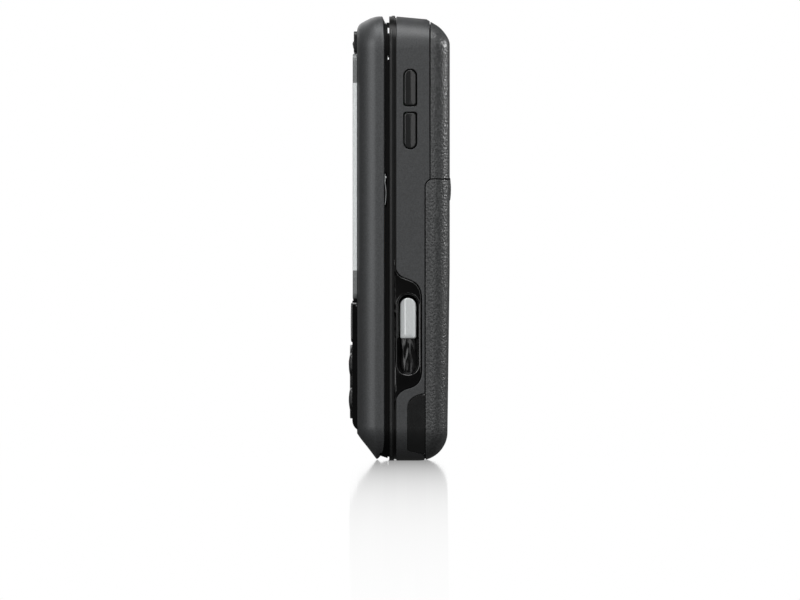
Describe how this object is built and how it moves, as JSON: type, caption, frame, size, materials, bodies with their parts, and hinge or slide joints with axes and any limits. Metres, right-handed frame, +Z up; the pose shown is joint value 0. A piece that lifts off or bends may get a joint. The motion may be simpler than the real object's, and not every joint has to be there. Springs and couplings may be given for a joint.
{
  "type": "personal digital assistant with slide-out keyboard",
  "caption": "Pocket organiser phone: a screen unit with navigation keys slides sideways over a lower casing to uncover a thumb keyboard, with stylus, side keys and a removable battery door.",
  "frame": {"origin": "middle of the bottom end's plane, where the organiser stands on its end", "axes": "+Z up along the long side, -Y out of the screen, +X towards the organiser's right-hand side"},
  "size_m": [0.058, 0.0248, 0.1079],
  "materials": {
    "band_paint": "fine metallic flake, satin",
    "slab_paint": "fine metallic flake, satin",
    "soft_touch": "fine leather-like grain, semi-matt",
    "piano_black": "polished black",
    "satin_black": "satin black",
    "key_grey": "satin dark grey",
    "silver_knob": "light silver paint",
    "window_glass": "clear, polished",
    "display_dark": "dark display, switched off",
    "ir_plastic": "dark infrared-pass window",
    "lens_glass": "tinted lens cover",
    "steel": "stamped steel",
    "spring_steel": "bright spring steel",
    "slide_liner": "low-friction acetal",
    "circuit_board": "green circuit board",
    "battery_case": "dark plain film",
    "gold_copper": "copper and gold plating",
    "flex_film": "amber film",
    "screw_steel": "black-plated steel",
    "speaker_grey": "satin grey",
    "magnesium": "cast magnesium"
  },
  "bodies": {
    "base": {"mid_frame": "piano_black", "side_band": "band_paint", "rear_cover": "soft_touch", "inner_chassis": "magnesium", "main_board": "circuit_board", "shield_cans": "steel", "keyboard_board": "circuit_board", "battery": "battery_case", "battery_contacts": "satin_black", "sim_holder": "steel", "usb_port": "steel", "headset_jack": "satin_black", "camera_module": "satin_black", "camera_window": "lens_glass", "loudspeaker": "speaker_grey", "vibration_motor": "steel", "antenna": "gold_copper", "microphone": "steel", "side_switches": "steel", "hold_switch_body": "satin_black", "ir_window": "ir_plastic", "ir_transceiver": "satin_black", "slide_shoes": "slide_liner", "slide_springs": "spring_steel", "display_flex": "flex_film", "base_screws": "screw_steel"},
    "screen_unit": {"screen_bezel": "slab_paint", "screen_window": "window_glass", "lcd_module": "display_dark", "display_frame": "steel", "screen_back": "satin_black", "slide_plate": "steel", "earpiece": "speaker_grey", "earpiece_grille": "satin_black", "control_panel": "piano_black", "key_circuit": "circuit_board", "screen_screws": "screw_steel"},
    "volume_up_key": {"volume_up_key": "key_grey"},
    "volume_down_key": {"volume_down_key": "key_grey"},
    "hold_switch_knob": {"hold_switch_knob": "silver_knob"},
    "power_key": {"power_key": "satin_black"},
    "stylus": {"stylus": "satin_black"},
    "battery_door": {"battery_door": "soft_touch"},
    "door_latch": {"door_latch": "satin_black"},
    "vibration_weight": {"vibration_weight": "steel"},
    "key_row_1": {"key_row_1": "key_grey"},
    "key_row_2": {"key_row_2": "key_grey"},
    "key_row_3": {"key_row_3": "key_grey"},
    "key_row_4": {"key_row_4": "key_grey"},
    "softkey_left": {"softkey_left": "piano_black"},
    "softkey_right": {"softkey_right": "piano_black"},
    "call_key": {"call_key": "satin_black"},
    "end_key": {"end_key": "satin_black"},
    "home_key": {"home_key": "satin_black"},
    "ok_key": {"ok_key": "satin_black"},
    "nav_carrier": {"nav_carrier": "slide_liner"},
    "nav_ring": {"nav_ring": "satin_black"},
    "nav_select": {"nav_select": "piano_black"},
    "top_key_left": {"top_key_left": "satin_black"},
    "top_key_right": {"top_key_right": "satin_black"}
  },
  "joints": [
    {"name": "screen_slide", "type": "slide", "parent": "base", "child": "screen_unit", "axis": [1, 0, 0], "range_m": [0, 0.026], "deforming": ["slide_springs", "display_flex"]},
    {"name": "volume_up_press", "type": "slide", "parent": "base", "child": "volume_up_key", "axis": [-1, 0, 0], "range_m": [0, 0.0004], "stiffness_N_per_m": 400},
    {"name": "volume_down_press", "type": "slide", "parent": "base", "child": "volume_down_key", "axis": [-1, 0, 0], "range_m": [0, 0.0004], "stiffness_N_per_m": 400},
    {"name": "hold_switch_slide", "type": "slide", "parent": "base", "child": "hold_switch_knob", "axis": [0, 0, -1], "range_m": [0, 0.0068]},
    {"name": "power_key_press", "type": "slide", "parent": "base", "child": "power_key", "axis": [0, 0, -1], "range_m": [0, 0.0004], "stiffness_N_per_m": 400},
    {"name": "stylus_slide", "type": "slide", "parent": "base", "child": "stylus", "axis": [0, 0, 1], "range_m": [0, 0.09]},
    {"name": "battery_door_lift", "type": "slide", "parent": "base", "child": "battery_door", "axis": [0, 1, 0], "range_m": [0, 0.02]},
    {"name": "door_latch_press", "type": "slide", "parent": "base", "child": "door_latch", "axis": [0, -1, 0], "range_m": [0, 0.0005], "stiffness_N_per_m": 400},
    {"name": "motor_spin", "type": "hinge", "parent": "base", "child": "vibration_weight", "pos_m": [-0.004, 0.0079, 0.076], "axis": [1, 0, 0], "continuous": true},
    {"name": "key_row_1_press", "type": "slide", "parent": "base", "child": "key_row_1", "axis": [0, 1, 0], "range_m": [0, 0.00025], "stiffness_N_per_m": 400},
    {"name": "key_row_2_press", "type": "slide", "parent": "base", "child": "key_row_2", "axis": [0, 1, 0], "range_m": [0, 0.00025], "stiffness_N_per_m": 400},
    {"name": "key_row_3_press", "type": "slide", "parent": "base", "child": "key_row_3", "axis": [0, 1, 0], "range_m": [0, 0.00025], "stiffness_N_per_m": 400},
    {"name": "key_row_4_press", "type": "slide", "parent": "base", "child": "key_row_4", "axis": [0, 1, 0], "range_m": [0, 0.00025], "stiffness_N_per_m": 400},
    {"name": "softkey_left_press", "type": "slide", "parent": "screen_unit", "child": "softkey_left", "axis": [0, 1, 0], "range_m": [0, 0.00035], "stiffness_N_per_m": 400},
    {"name": "softkey_right_press", "type": "slide", "parent": "screen_unit", "child": "softkey_right", "axis": [0, 1, 0], "range_m": [0, 0.00035], "stiffness_N_per_m": 400},
    {"name": "call_key_press", "type": "slide", "parent": "screen_unit", "child": "call_key", "axis": [0, 1, 0], "range_m": [0, 0.00035], "stiffness_N_per_m": 400},
    {"name": "end_key_press", "type": "slide", "parent": "screen_unit", "child": "end_key", "axis": [0, 1, 0], "range_m": [0, 0.00035], "stiffness_N_per_m": 400},
    {"name": "home_key_press", "type": "slide", "parent": "screen_unit", "child": "home_key", "axis": [0, 1, 0], "range_m": [0, 0.00035], "stiffness_N_per_m": 400},
    {"name": "ok_key_press", "type": "slide", "parent": "screen_unit", "child": "ok_key", "axis": [0, 1, 0], "range_m": [0, 0.00035], "stiffness_N_per_m": 400},
    {"name": "nav_tilt_sideways", "type": "hinge", "parent": "screen_unit", "child": "nav_carrier", "pos_m": [0, -0.0103, 0.019], "axis": [0, 0, 1], "range_deg": [-2.2, 2.2], "stiffness_Nm_per_rad": 0.03},
    {"name": "nav_tilt_up_down", "type": "hinge", "parent": "nav_carrier", "child": "nav_ring", "pos_m": [0, -0.0103, 0.019], "axis": [1, 0, 0], "range_deg": [-2.2, 2.2], "stiffness_Nm_per_rad": 0.03},
    {"name": "nav_select_press", "type": "slide", "parent": "screen_unit", "child": "nav_select", "axis": [0, 1, 0], "range_m": [0, 0.0003], "stiffness_N_per_m": 400},
    {"name": "top_key_left_press", "type": "slide", "parent": "screen_unit", "child": "top_key_left", "axis": [0, 1, 0], "range_m": [0, 0.0003], "stiffness_N_per_m": 400},
    {"name": "top_key_right_press", "type": "slide", "parent": "screen_unit", "child": "top_key_right", "axis": [0, 1, 0], "range_m": [0, 0.0003], "stiffness_N_per_m": 400}
  ]
}
